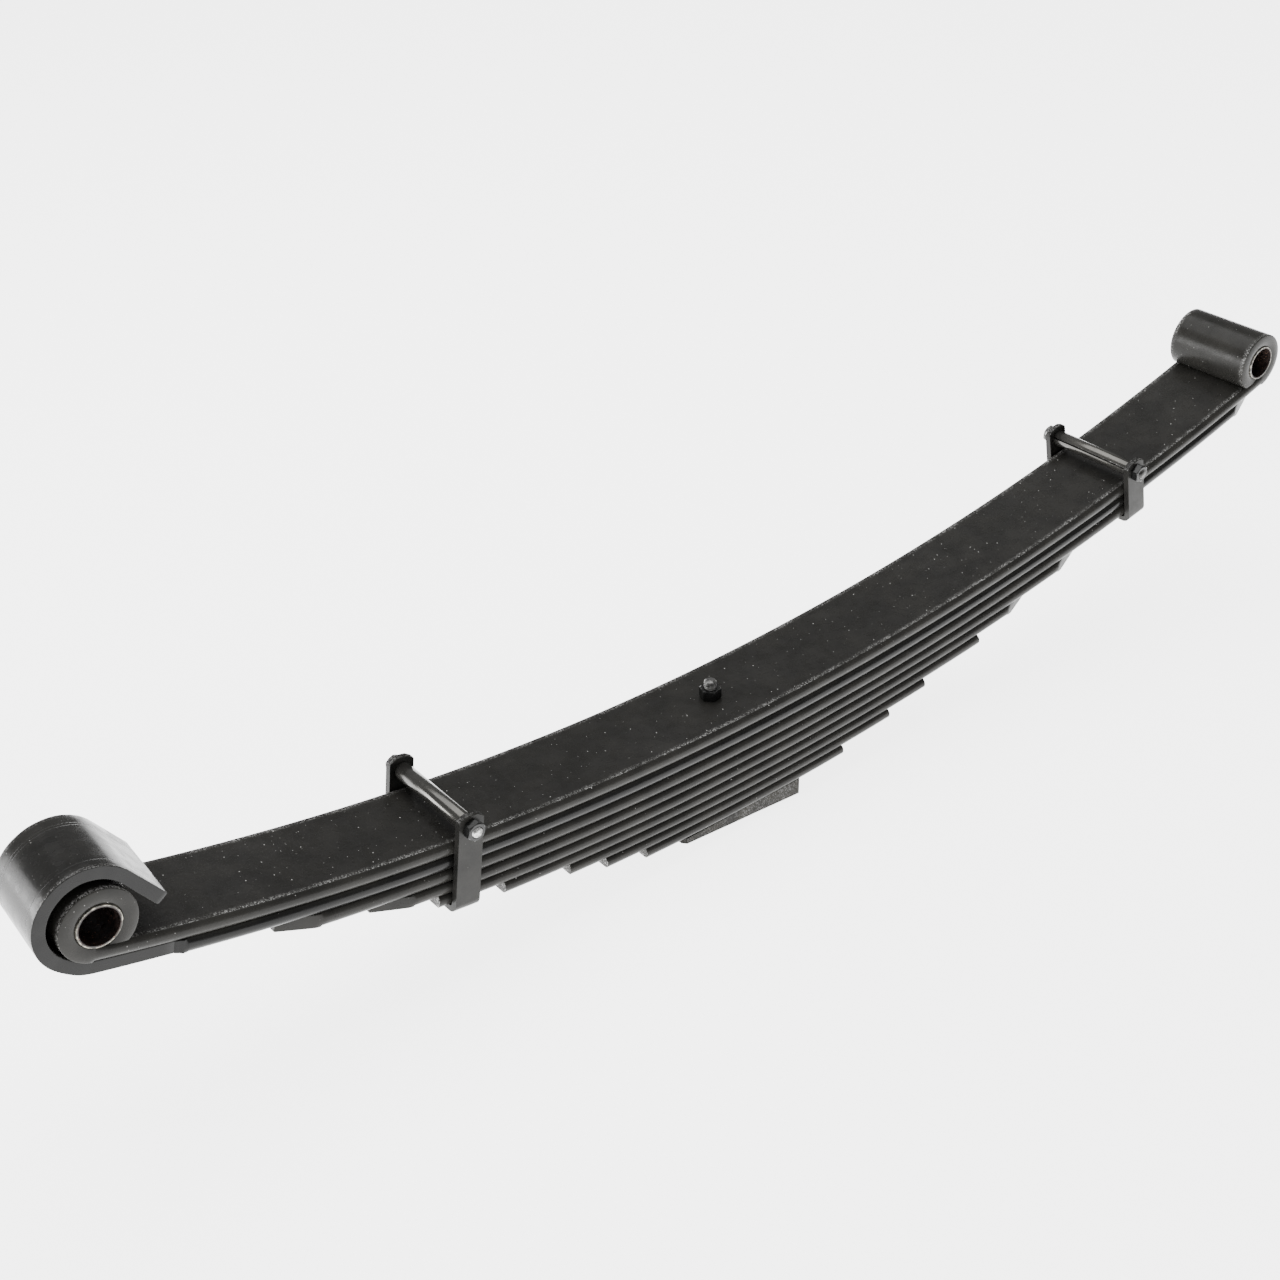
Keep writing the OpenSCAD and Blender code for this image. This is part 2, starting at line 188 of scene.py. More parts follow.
def at_arm(which, s, x, y, z):
    """A point in the local frame on the main leaf's face: x outboard, y across, z off the leaf."""
    turn = s / RADIUS[which]
    foot = on_arm(which, s)
    out = Vector((SIGN[which] * math.cos(turn), 0, math.sin(turn)))
    up = Vector((-SIGN[which] * math.sin(turn), 0, math.cos(turn)))
    return foot + out * x + Vector((0, y, 0)) + up * z


def wobble(seed, x, size):
    """Smooth noise from -size to size along a length x, in metres."""
    return size * noise.noise(Vector((x, seed * 7.13, 0.37 * seed)))


# ---------------------------------------------------------------- mesh building
def new_object(name, points, faces, edge=None, tag=None, sharp=40):
    """A closed mesh with smooth faces, sharp past an angle, and the attributes the materials read."""
    mesh = bpy.data.meshes.new(name)
    mesh.from_pydata([tuple(p) for p in points], [], faces)
    mesh.validate()
    obj = bpy.data.objects.new(name, mesh)
    bpy.context.scene.collection.objects.link(obj)
    rest = mesh.attributes.new("rest", "FLOAT_VECTOR", "POINT")
    rest.data.foreach_set("vector", [c for v in mesh.vertices for c in v.co])
    for label, values in (("edge", edge), ("tag", tag)):
        attribute = mesh.attributes.new(label, "FLOAT", "POINT")
        attribute.data.foreach_set("value", values or [0.0] * len(mesh.vertices))
    bm = bmesh.new()
    bm.from_mesh(mesh)
    bmesh.ops.recalc_face_normals(bm, faces=bm.faces)
    bm.to_mesh(mesh)
    bm.free()
    mesh.polygons.foreach_set("use_smooth", [True] * len(mesh.polygons))
    mesh.set_sharp_from_angle(angle=math.radians(sharp))
    return obj


def loft(name, rings, edge=None, tag=None, sharp=40):
    """Joins equal rings into a closed skin. edge has a value per ring point, tag one per ring."""
    count = len(rings[0])
    points = [p for ring in rings for p in ring]
    faces = []
    for i in range(len(rings) - 1):
        for j in range(count):
            k = (j + 1) % count
            faces.append((i * count + j, i * count + k, (i + 1) * count + k, (i + 1) * count + j))
    faces.append(tuple(range(count - 1, -1, -1)))
    last = (len(rings) - 1) * count
    faces.append(tuple(last + j for j in range(count)))
    edges = [v for ring in (edge or [[0.0] * count] * len(rings)) for v in ring]
    tags = [t for t in (tag or [0.0] * len(rings)) for _ in range(count)]
    return new_object(name, points, faces, edges, tags, sharp)


def spin(name, profile, place, edge, steps=48):
    """Turns a closed profile of (radius, along) about an axis. place(u, v, w) gives a point's place."""
    points, faces, edges = [], [], []
    count = len(profile)
    for i in range(steps):
        angle = 2 * math.pi * i / steps
        for j, (r, w) in enumerate(profile):
            points.append(place(r * math.cos(angle), r * math.sin(angle), w))
            edges.append(float(edge[j]))
        for j in range(count):
            k = (j + 1) % count
            n = (i + 1) % steps
            faces.append((i * count + j, i * count + k, n * count + k, n * count + j))
    return new_object(name, points, faces, edges, sharp=35)


def corner(a, p, b, radius, steps=3):
    """Points that round the corner p between its neighbours a and b."""
    u, v = (a - p).normalized(), (b - p).normalized()
    turn = math.pi - u.angle(v)
    cut = min(radius * math.tan(turn / 2), 0.45 * (a - p).length, 0.45 * (b - p).length)
    start, end = p + u * cut, p + v * cut
    shares = [i / steps for i in range(steps + 1)]
    return [start * (1 - t) ** 2 + p * 2 * t * (1 - t) + end * t * t for t in shares]


def bar_ring(half, thick, bulge, fillet=EDGE_FILLET, inset=0.0):
    """Section of a leaf as (y, height, edge) from its upper face down, round the whole outline."""
    across, around = 9, 8
    half, thick, bulge = half - inset, thick - 2 * inset, max(bulge, 0.02 * MM)
    arc_r = (bulge * bulge + thick * thick / 4) / (2 * bulge)
    spread = math.asin(thick / 2 / arc_r)
    side = [
        Vector((half - arc_r + arc_r * math.cos(a), -inset - thick / 2 + arc_r * math.sin(a)))
        for a in (spread - 2 * spread * i / around for i in range(around + 1))
    ]
    flat = half - bulge
    top = [Vector((-flat + 2 * flat * (i + 1) / (across + 1), -inset)) for i in range(across)]
    low = [Vector((p.x, -inset - thick)) for p in reversed(top)]
    upper = corner(top[-1], side[0], side[1], fillet)
    right = upper + side[1:-1] + corner(side[-2], side[-1], low[0], fillet)
    left = [Vector((-p.x, -2 * inset - thick - p.y)) for p in right]
    ring = [(p, 0.0) for p in top]
    # the corner points marked here get lighter paint: partly worn paint, partly a painted highlight along
    # the leaf's edges
    ring += [(p, 1.0 if i < 2 or i >= len(right) - 2 else 0.0) for i, p in enumerate(right)]
    ring += [(p, 0.0) for p in low]
    ring += [(p, 1.0 if i < 2 or i >= len(left) - 2 else 0.0) for i, p in enumerate(left)]
    return [(p.x, p.y, e) for p, e in ring]


def steps_to(end, size):
    """Stations from 0 to end: close ones at the middle of the spring, then at an even size."""
    count = max(2, round(end / size))
    return [0.0, 2 * MM] + [end * i / count for i in range(1, count + 1)]


# ---------------------------------------------------------------- leaves
def leaf_rings(which, n, end, seed, diamond=False):
    """Rings of a plain leaf's half, from the centre bolt to its end."""
    rings, edges = [], []
    thick, shift = THICK[n - 1], wobble(seed, 3.1, 0.5 * MM)
    stations = [(s, 0.0) for s in steps_to(end - END_BEVEL, RING_STEP)] + [(end, END_BEVEL)]
    if diamond:
        extra = [end - TIP_LENGTH, end - TIP_LENGTH + 1.5 * MM]
        stations = sorted(stations + [(s, 0.0) for s in extra])
    for s, inset in stations:
        half, bulge = WIDTH / 2, EDGE_BULGE * thick
        if diamond and s > end - TIP_LENGTH:
            share = (s - end + TIP_LENGTH) / TIP_LENGTH
            half += (TIP_HALF - WIDTH / 2) * share
            bulge *= max(0.05, 1 - share * 12)
        half += wobble(seed, s * 14, 0.12 * MM)
        ring = bar_ring(half, thick, bulge, inset=inset)
        y0 = (shift + wobble(seed + 9, s * 6, 0.5 * MM)) * min(1, s / (60 * MM))
        ragged = [wobble(seed + 3, y * 160, 0.5 * MM) if s > end - 2 * MM else 0.0 for y, _, _ in ring]
        here = zip(ring, ragged)
        rings.append([on_arm(which, s + g, h - depth[n - 1], y + y0) for (y, h, _), g in here])
        edges.append([max(e, 1.0 if inset else 0.0) for _, _, e in ring])
    return rings, edges


def plain_leaf(which, n, end, diamond):
    seed = n + (20 if which == "rear" else 0)
    rings, edges = leaf_rings(which, n, end, seed, diamond)
    return finish_leaf(loft(f"leaf_{n}_{which}", rings, edges), which, f"leaf_{n}")


def finish_leaf(obj, which, node, material="leaf"):
    """Paints a half leaf and puts it in its node's place."""
    obj.data.materials.append(MATERIALS[material])
    bend_from(which)
    bend_to(which)
    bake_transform(obj)
    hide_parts(node)
    return obj


def bend_from(which):
    return Vector((on_arm(which, BLEND_FROM).x, 0, 0))


def bend_to(which):
    return Vector((on_arm(which, BLEND_TO[which]).x, 0, 0))


def main_leaf(which):
    """Upper leaf with its rolled eye; the eye's end lies just over the leaf."""
    thick, arm = THICK[0], ARM[which]
    seed = 1 if which == "front" else 21
    rings, edges = [], []
    for s in steps_to(arm, RING_STEP):
        ring = bar_ring(WIDTH / 2 + wobble(seed, s * 14, 0.1 * MM), thick, EDGE_BULGE * thick)
        here = []
        for y, h, _ in ring:
            lift = wobble(seed + 2, s * 12 + y * 9, 0.06 * MM) if abs(h) < 0.1 * MM else 0.0
            here.append(on_arm(which, s, h + lift, y))
        rings.append(here)
        edges.append([e for _, _, e in ring])
    for i in range(1, EYE_STEPS + 1):
        angle = math.radians(-90 + EYE_SWEEP * i / EYE_STEPS)
        wide = WIDTH / 2 - 0.15 * MM + wobble(seed + 5, i * 0.11, 0.12 * MM)
        ring = bar_ring(wide, thick, 0.08 * thick, fillet=EYE_FILLET)
        here = []
        for y, h, _ in ring:
            radius = EYE_INNER - 0.99 * h
            x, z = radius * math.cos(angle), EYE_INNER + radius * math.sin(angle)
            if i > EYE_STEPS / 2:
                z = max(z, EYE_END_GAP)
            here.append(at_arm(which, arm, x, y, z))
        rings.append(here)
        edges.append([e for _, _, e in ring])
    return finish_leaf(loft(f"main_leaf_{which}", rings, edges), which, "main_leaf")


def wrap_path():
    """Stations of the loose wrap about the eye: (point on its inner face, outward direction)."""
    inner = EYE_INNER + THICK[0] + WRAP_GAP
    to_eye, to_loop, off = BLEND_RADIUS - inner, BLEND_RADIUS - LOOP_RADIUS, LOOP_CENTRE.length
    along = (to_eye**2 - to_loop**2 + off**2) / (2 * off)
    side = math.sqrt(to_eye**2 - along**2)
    d = LOOP_CENTRE / off
    blend = Vector((d.x * along - d.y * side, d.y * along + d.x * side))
    blend_a = math.degrees(math.atan2(-blend.y, -blend.x))
    blend_b = math.degrees(math.atan2(LOOP_CENTRE.y - blend.y, LOOP_CENTRE.x - blend.x))
    tail_a = 90 + TAIL_ANGLE
    path = []
    for centre, radius, a0, a1 in (
        (Vector((0, 0)), inner, -90, blend_a),
        (blend, BLEND_RADIUS, blend_a, blend_b),
        (LOOP_CENTRE, LOOP_RADIUS, blend_b, tail_a),
    ):
        count = max(1, math.ceil((a1 - a0) / 4))
        for i in range(1, count + 1):
            a = math.radians(a0 + (a1 - a0) * i / count)
            out = Vector((math.cos(a), math.sin(a)))
            path.append((centre + out * radius, out))
    point, out = path[-1]
    go = Vector((-out.y, out.x))
    tail = [0.15, 0.3, 0.45, 0.6, 0.75, 0.9, 0.97, 1.0]
    return path + [(point + go * TAIL_LENGTH * t, out) for t in tail]


def wrapper_front():
    """Second leaf's front half: bar, trimmed step, then the loose wrap round the eye."""
    rings, edges, tags = [], [], []
    stations = steps_to(TRIM_START, RING_STEP) + [TRIM_START + i * 1.1 * MM for i in range(1, 9)]
    stations += [TRIM_END + i * (ARM["front"] - TRIM_END) / 7 for i in range(0, 8)]
    for s in stations:
        share = min(1, max(0, (s - TRIM_START) / (TRIM_END - TRIM_START)))
        near = WIDTH / 2 + (WRAP_HALF - WIDTH / 2) * share
        near += wobble(31, s * 14, 0.12 * MM)
        near += wobble(32, s * 900, 0.7 * MM) if 0 < share < 1 else 0
        far = WIDTH / 2 + (WRAP_FAR - WIDTH / 2) * share
        thick = THICK[1] + (WRAP_THICK - THICK[1]) * share
        bulge = EDGE_BULGE * THICK[1] * max(0, 1 - 3 * share)
        fillet = EDGE_FILLET + (WRAP_FILLET - EDGE_FILLET) * share
        ring = bar_ring((near + far) / 2, thick, bulge, fillet)
        across, low = (far - near) / 2, THICK[0] + WRAP_GAP * share
        rings.append([on_arm("front", s, h - low, y + across) for y, h, _ in ring])
        edges.append([e * (0.3 if 0 < share < 1 else 1) for _, _, e in ring])
        tags.append(share)
    path = wrap_path()
    across = (WRAP_FAR - WRAP_HALF) / 2
    for i, (point, out) in enumerate(path):
        last = i == len(path) - 1
        half = (WRAP_HALF + WRAP_FAR) / 2 + wobble(33, i * 0.21, 0.3 * MM)
        ring = bar_ring(half, WRAP_THICK, 0.05 * MM, WRAP_FILLET, WRAP_BEVEL if last else 0.0)
        here = []
        for y, h, e in ring:
            nick = 0.0
            if e and h < -5 * MM:
                nick = 0.35 * MM * max(0, noise.noise(Vector((i * 1.7, y * 30, 5))))
            p = point - out * (h + nick + 0.06 * MM)
            lean = WRAP_SKEW * max(0.0, y + across + WRAP_HALF)
            p = Vector((p.x - lean, p.y))
            p *= max(1.0, WRAP_ROOM / p.length)
            here.append(at_arm("front", ARM["front"], p.x, y + across, EYE_INNER + p.y))
        rings.append(here)
        edges.append([max(e, 1.0 if last else 0.0) for _, _, e in ring])
        tags.append(1.0)
    return finish_leaf(loft("wrapper_leaf_front", rings, edges, tags), "front", "wrapper_leaf", "wrap")


def wrapper_rear():
    rings, edges = leaf_rings("rear", 2, WRAPPER_REAR, 22, diamond=True)
    return finish_leaf(loft("wrapper_leaf_rear", rings, edges), "rear", "wrapper_leaf", "wrap")


# ---------------------------------------------------------------- clips
def clip_frame(which):
    return lambda x, y, z: at_arm(which, CLIP_AT[which], x, y, z)


def clip_strap(which):
    """U-shaped strap: arms with crowned tops, rounded bends, a flat bottom under the leaves."""
    put = clip_frame(which)
    low = depth[CLIP_LEAVES[which]] + STRAP_GAP
    mid = STRAP_BEND + STRAP_THICK / 2
    path = [(-STRAP_IN - STRAP_THICK / 2, z, -1, 0) for z in (STRAP_TOP, 17 * MM, 12 * MM, 6 * MM, 0)]
    path += [(-STRAP_IN - STRAP_THICK / 2, -(low - STRAP_BEND) * t, -1, 0) for t in (0.3, 0.6, 1.0)]
    for i in range(1, 9):
        a = math.radians(180 + 90 * i / 8)
        centre = (-STRAP_IN + STRAP_BEND, -low + STRAP_BEND)
        out = (math.cos(a), math.sin(a))
        path.append((centre[0] + mid * out[0], centre[1] + mid * out[1], *out))
    path.append((0, -low - STRAP_THICK / 2, 0, -1))
    path += [(-y, z, -ny, nz) for y, z, ny, nz in reversed(path[:-1])]
    section = rounded_rectangle(STRAP_WIDTH / 2, STRAP_THICK / 2, STRAP_FILLET)
    rings, edges = [], []
    last = len(path) - 1
    for i, (y, z, ny, nz) in enumerate(path):
        for inset in {0: [STRAP_BEVEL, 0.0], last: [0.0, STRAP_BEVEL]}.get(i, [0.0]):
            ring, edge = [], []
            for u, v in section:
                u, v = u * (1 - inset / (STRAP_WIDTH / 2)), v * (1 - inset / (STRAP_THICK / 2))
                rise = 0.0
                if i in (0, last):
                    rise = STRAP_CROWN * (1 - abs(u / (STRAP_WIDTH / 2)) ** 3)
                    rise -= 0 if inset else STRAP_BEVEL
                v = max(v, STRAP_ROOM * max(0.0, -nz) - STRAP_THICK / 2)
                rough = wobble(41 + len(which), y * 60 + z * 60 + u * 90, 0.12 * MM)
                ring.append(put(u, y + ny * (v + rough), z + nz * (v + rough) + rise))
                edge.append(1.0 if inset else 0.35 if abs(abs(u) - STRAP_WIDTH / 2) < 0.3 * MM else 0.0)
            rings.append(ring)
            edges.append(edge)
    obj = loft(f"{which}_clip_strap_bent", rings, edges)
    return ride_as(obj, f"{which}_clip", "clip", "clip_steel", f"{which}_clip_strap")


def rounded_rectangle(a, b, fillet):
    """Outline of a rectangle of half sides a and b, with rounded corners and points along its length."""
    points = [Vector(p) for p in ((-a, b), (-a / 2, b), (0, b), (a / 2, b), (a, b), (a, -b), (a / 2, -b))]
    points += [Vector(p) for p in ((0, -b), (-a / 2, -b), (-a, -b))]
    outline = []
    for i, p in enumerate(points):
        if abs(p.x) == a:
            outline += corner(points[i - 1], p, points[(i + 1) % len(points)], fillet)
        else:
            outline.append(p)
    return [(p.x, p.y) for p in outline]


def ride_as(obj, body, material, slot, *nodes):
    """Paints a piece, rides it on a body and puts it in its nodes' place."""
    obj.data.materials.append(MATERIALS[material])
    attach(obj, body)
    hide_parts(*nodes)
    return obj


def hexagon(name, flats, height, bore, place, turn):
    """Hexagonal nut or head with chamfered corners about the w axis, from w = 0 to w = height."""
    steps, points, faces, edges = 72, [], [], []
    inner, chamfer, bevel = flats / 2 * 0.96, 0.6 * MM, 0.25 * MM
    for i in range(steps):
        angle = 2 * math.pi * i / steps
        out = flats / 2 / math.cos((angle % (math.pi / 3)) - math.pi / 6)
        drop = (out - inner) * math.tan(HEX_CHAMFER)
        a = angle + turn
        profile = [(bore, chamfer, 0), (bore + chamfer, 0, 0), (inner, 0, 0)]
        # the chamfer's corner is marked for lighter paint: a painted highlight along the chamfer, partly
        # worn paint
        profile += [(out - bevel, drop * 0.9, 1), (out, drop + bevel, 0)]
        profile += [(r, height - w, e) for r, w, e in reversed(profile)]
        count = len(profile)
        for r, w, e in profile:
            points.append(place(r * math.cos(a), r * math.sin(a), w))
            edges.append(float(e))
        for j in range(count):
            k, n = (j + 1) % count, (i + 1) % steps
            faces.append((i * count + j, i * count + k, n * count + k, n * count + j))
    return new_object(name, points, faces, edges, sharp=28)


def threaded_rod(name, radius, start, end, thread_from, pitch, place):
    """Round rod along w with a helical thread from thread_from to its chamfered end."""
    rings, edges = [], []
    levels = [start, start + 0.4 * MM, thread_from - 0.1 * MM]
    fine = max(4, math.ceil((end - thread_from) / pitch * 8))
    levels += [thread_from + (end - thread_from) * i / fine for i in range(fine + 1)]
    for w in levels:
        ring = []
        for i in range(THREAD_STEPS):
            turn = i / THREAD_STEPS
            groove = 0.0
            if w >= thread_from:
                wave = ((w - start) / pitch - turn) % 1
                groove = 0.55 * pitch * (1 - abs(2 * wave - 1))
            taper = max(0.0, w - end + 1.2 * MM) * 0.9
            r = min(radius - groove, radius - taper) if w > start else radius - 0.4 * MM
            ring.append(place(r * math.cos(2 * math.pi * turn), r * math.sin(2 * math.pi * turn), w))
        rings.append(ring)
        edges.append([1.0 if w > end - 0.6 * MM else 0.3] * THREAD_STEPS)
    return loft(name, rings, edges, sharp=50)


def clip_bolt(which):
    """Hex-headed bolt across the clip, its nut, and the rolled spacer tube between the strap's arms."""
    body = f"{which}_clip"
    put = clip_frame(which)
    turn = CLIP_TURN[which]

    def along(u, v, w):
        return put(u, -w, BOLT_HEIGHT + v)

    head = hexagon(
        f"{which}_clip_bolt_head", CLIP_HEX, CLIP_HEAD, 0.5 * MM,
        lambda u, v, w: along(u, v, -STRAP_OUT - w), turn,
    )
    ride_as(head, body, "worn_bolt", "bolt_steel", f"{which}_clip_bolt")
    end = STRAP_OUT + CLIP_NUT + BOLT_PAST
    rod = threaded_rod(
        f"{which}_clip_bolt_rod", BOLT_R, -STRAP_OUT, end, STRAP_OUT - 2 * MM, CLIP_PITCH, along
    )
    shade = "bright_bolt" if which == "front" else "worn_bolt"
    ride_as(rod, body, shade, "bolt_steel", f"{which}_clip_bolt")
    nut = hexagon(
        f"{which}_clip_nut_hex", CLIP_HEX, CLIP_NUT, BOLT_R - 0.2 * MM,
        lambda u, v, w: along(u, v, STRAP_OUT + w), turn + CLIP_NUT_TURN,
    )
    ride_as(nut, body, "black", "hardware_black", f"{which}_clip_nut")
    return rolled_tube(which, along)


def rolled_tube(which, along):
    """Spacer rolled from strip, open by a narrow seam."""
    steps = 44
    first, sweep = TUBE_SEAM_AT[which] + TUBE_SEAM, 2 * math.pi - 2 * TUBE_SEAM
    turns = [first + sweep * i / steps for i in range(steps + 1)]
    ring = [(TUBE_R, a) for a in turns] + [(TUBE_R - TUBE_WALL, a) for a in reversed(turns)]
    rings, edges = [], []
    half = STRAP_IN - 0.1 * MM
    for w, inset in ((-half, 0.3), (-half + 0.4 * MM, 0), (0, 0), (half - 0.4 * MM, 0), (half, 0.3)):
        here = []
        for r, a in ring:
            r += -inset * MM if r == TUBE_R else inset * MM
            here.append(along(r * math.cos(a), r * math.sin(a), w))
        rings.append(here)
        edges.append([1.0 if inset else 0.0] * len(ring))
    obj = loft(f"{which}_clip_tube_rolled", rings, edges)
    return ride_as(obj, f"{which}_clip", "tube", "tube_steel", f"{which}_clip_tube")


# ---------------------------------------------------------------- centre bolt, plate, bushes
def centre_fasteners():
    """Bolt with its thread above the nut and its round head below the plate."""

    def upright(u, v, w):
        return Vector((u, v, w))

    nut = hexagon(
        "centre_nut_hex", CENTRE_HEX, CENTRE_NUT, CENTRE_R - 0.3 * MM,
        lambda u, v, w: upright(u, v, top_z + 0.05 * MM + w), CENTRE_TURN,
    )
    ride_as(nut, "spring_pack", "black", "hardware_black", "centre_bolt_nut")
    start, end = CENTRE_SEAT - 1 * MM, top_z + CENTRE_NUT + CENTRE_PAST
    rod = threaded_rod("centre_bolt_rod", CENTRE_R, start, end, top_z - 4 * MM, CENTRE_PITCH, upright)
    ride_as(rod, "spring_pack", "centre_thread", "bolt_steel", "centre_bolt")

    low, r = CENTRE_SEAT - CENTRE_HEAD, CENTRE_HEAD_R
    profile = [(0.3 * MM, CENTRE_SEAT), (r - 0.4 * MM, CENTRE_SEAT), (r, CENTRE_SEAT - 0.4 * MM)]
    profile += [(r, low + 1.2 * MM), (r - 0.3 * MM, low + 0.5 * MM)]
    profile += [(r - 1.2 * MM, low), (r / 2, low), (0.3 * MM, low)]
    head = spin("centre_bolt_head", profile, upright, edge=[0, 1, 1, 0, 1, 1, 0, 0])
    return ride_as(head, "spring_pack", "worn_bolt", "bolt_steel", "centre_bolt")


def taper_plate():
    """Wedge with softened edges and cut corners."""
    start, end_x = PLATE_ENDS[0] + 0.05 * MM, PLATE_ENDS[1] - 0.05 * MM
    rings, edges = [], []
    fillet, count = 0.6 * MM, 16
    first, last = start + PLATE_CORNER, end_x - PLATE_CORNER
    stations = [(start, 1), (start + 0.5 * MM, 0)]
    stations += [(first + (last - first) * i / count, 0) for i in range(count + 1)]
    stations += [(end_x - 0.5 * MM, 0), (end_x, 1)]
    for x, end in stations:
        low = -x * math.tan(PLATE_TAPER)
        high = PLATE_MID - 0.02 * MM
        inset = 0.5 * MM * end
        middle, thick = (low + high) / 2, (high - low) / 2 - inset
        cut = max(0.0, first - x, x - last)
        half_width = PLATE_WIDTH / 2 - inset - cut + wobble(51, x * 40, 0.15 * MM)
        outline = rounded_rectangle(half_width, thick, fillet)
        rings.append([Vector((x, u, middle + v)) for u, v in outline])
        edges.append([1.0 if end or abs(abs(u) - half_width) < 0.65 * MM else 0.0 for u, _ in outline])
    obj = loft("taper_plate_wedge", rings, edges)
    return ride_as(obj, "spring_pack", "plate", "plate_steel", "taper_plate")


def bush(which):
    """Steel shell of the bush with broken edges; the bronze lining stays the CAD's own."""
    mounts = {m["name"]: m for m in frame["record"]["mounts"]}
    centre = Vector(mounts[f"{which}_eye_bore"]["pos_m"])
    half = WIDTH / 2
    inner = BUSH_OUTER - BUSH_WALL + 0.01 * MM
    rim, bevel = BUSH_OUTER - 0.35 * MM, 0.5 * MM
    profile = [(rim, -half), (BUSH_OUTER, -half + bevel), (BUSH_OUTER, half - bevel)]
    profile += [(rim, half), (inner, half), (inner, -half)]
    shell = spin(
        f"{which}_bush_shell_ring", profile, lambda u, v, w: centre + Vector((u, w, v)),
        edge=[1] * len(profile), steps=72,
    )
    ride_as(shell, f"{which}_eye", "bush_steel", "bush_steel", f"{which}_bush_shell")
    repaint(f"{which}_bush_lining", "bronze")


def repaint(name, material):
    """Gives a CAD node that stays in view a new material."""
    materials = frame["nodes"][name].data.materials
    materials.clear()
    materials.append(MATERIALS[material])


# ---------------------------------------------------------------- materials
class Nodes:
    """Small helper that adds shader nodes and links them."""

    def __init__(self, name):
        self.material = bpy.data.materials.new(name)
        self.material.use_nodes = True
        self.tree = self.material.node_tree
        self.shader = self.tree.nodes["Principled BSDF"]

    def add(self, kind, inputs=(), **settings):
        node = self.tree.nodes.new(kind)
        for key, value in settings.items():
            setattr(node, key, value)
        for key, value in dict(inputs).items():
            self.put(node.inputs[key], value)
        return node

    def put(self, socket, value):
        if isinstance(value, bpy.types.NodeSocket):
            self.tree.links.new(value, socket)
        else:
            socket.default_value = value

    def math(self, operation, a, b=0.0):
        return self.add("ShaderNodeMath", {0: a, 1: b}, operation=operation).outputs[0]

    def ramp(self, value, low, high, out_low=0.0, out_high=1.0):
        inputs = {0: value, 1: low, 2: high, 3: out_low, 4: out_high}
        return self.add("ShaderNodeMapRange", inputs, interpolation_type="SMOOTHSTEP").outputs[0]

    def mix(self, share, a, b):
        node = self.add("ShaderNodeMix", data_type="RGBA")
        self.put(node.inputs[0], share)
        self.put(node.inputs[6], a)
        self.put(node.inputs[7], b)
        return node.outputs[2]

    def noise(self, where, scale, detail=3.0, rough=0.55):
        inputs = {"Vector": where, "Scale": scale, "Detail": detail, "Roughness": rough}
        return self.add("ShaderNodeTexNoise", inputs).outputs["Fac"]

    def specks(self, where, cell, size, share):
        """Small dots, one in some of the cells, as 0 to 1."""
        dots = self.add("ShaderNodeTexVoronoi", {"Vector": where, "Scale": 1 / cell})
        near = self.ramp(dots.outputs["Distance"], size * 0.5 / cell, size / cell, 1.0, 0.0)
        colour = self.add("ShaderNodeSeparateColor", {0: dots.outputs["Color"]})
        return self.math("MULTIPLY", near, self.math("LESS_THAN", colour.outputs[0], share))


def grey(value, warm=0.0):
    return (value * (1 + 0.4 * warm), value, value * (1 - warm), 1)


def rest_place(nodes, attribute=True):
    if attribute:
        return nodes.add("ShaderNodeAttribute", attribute_name="rest").outputs["Vector"]
    return nodes.add("ShaderNodeTexCoord").outputs["Object"]


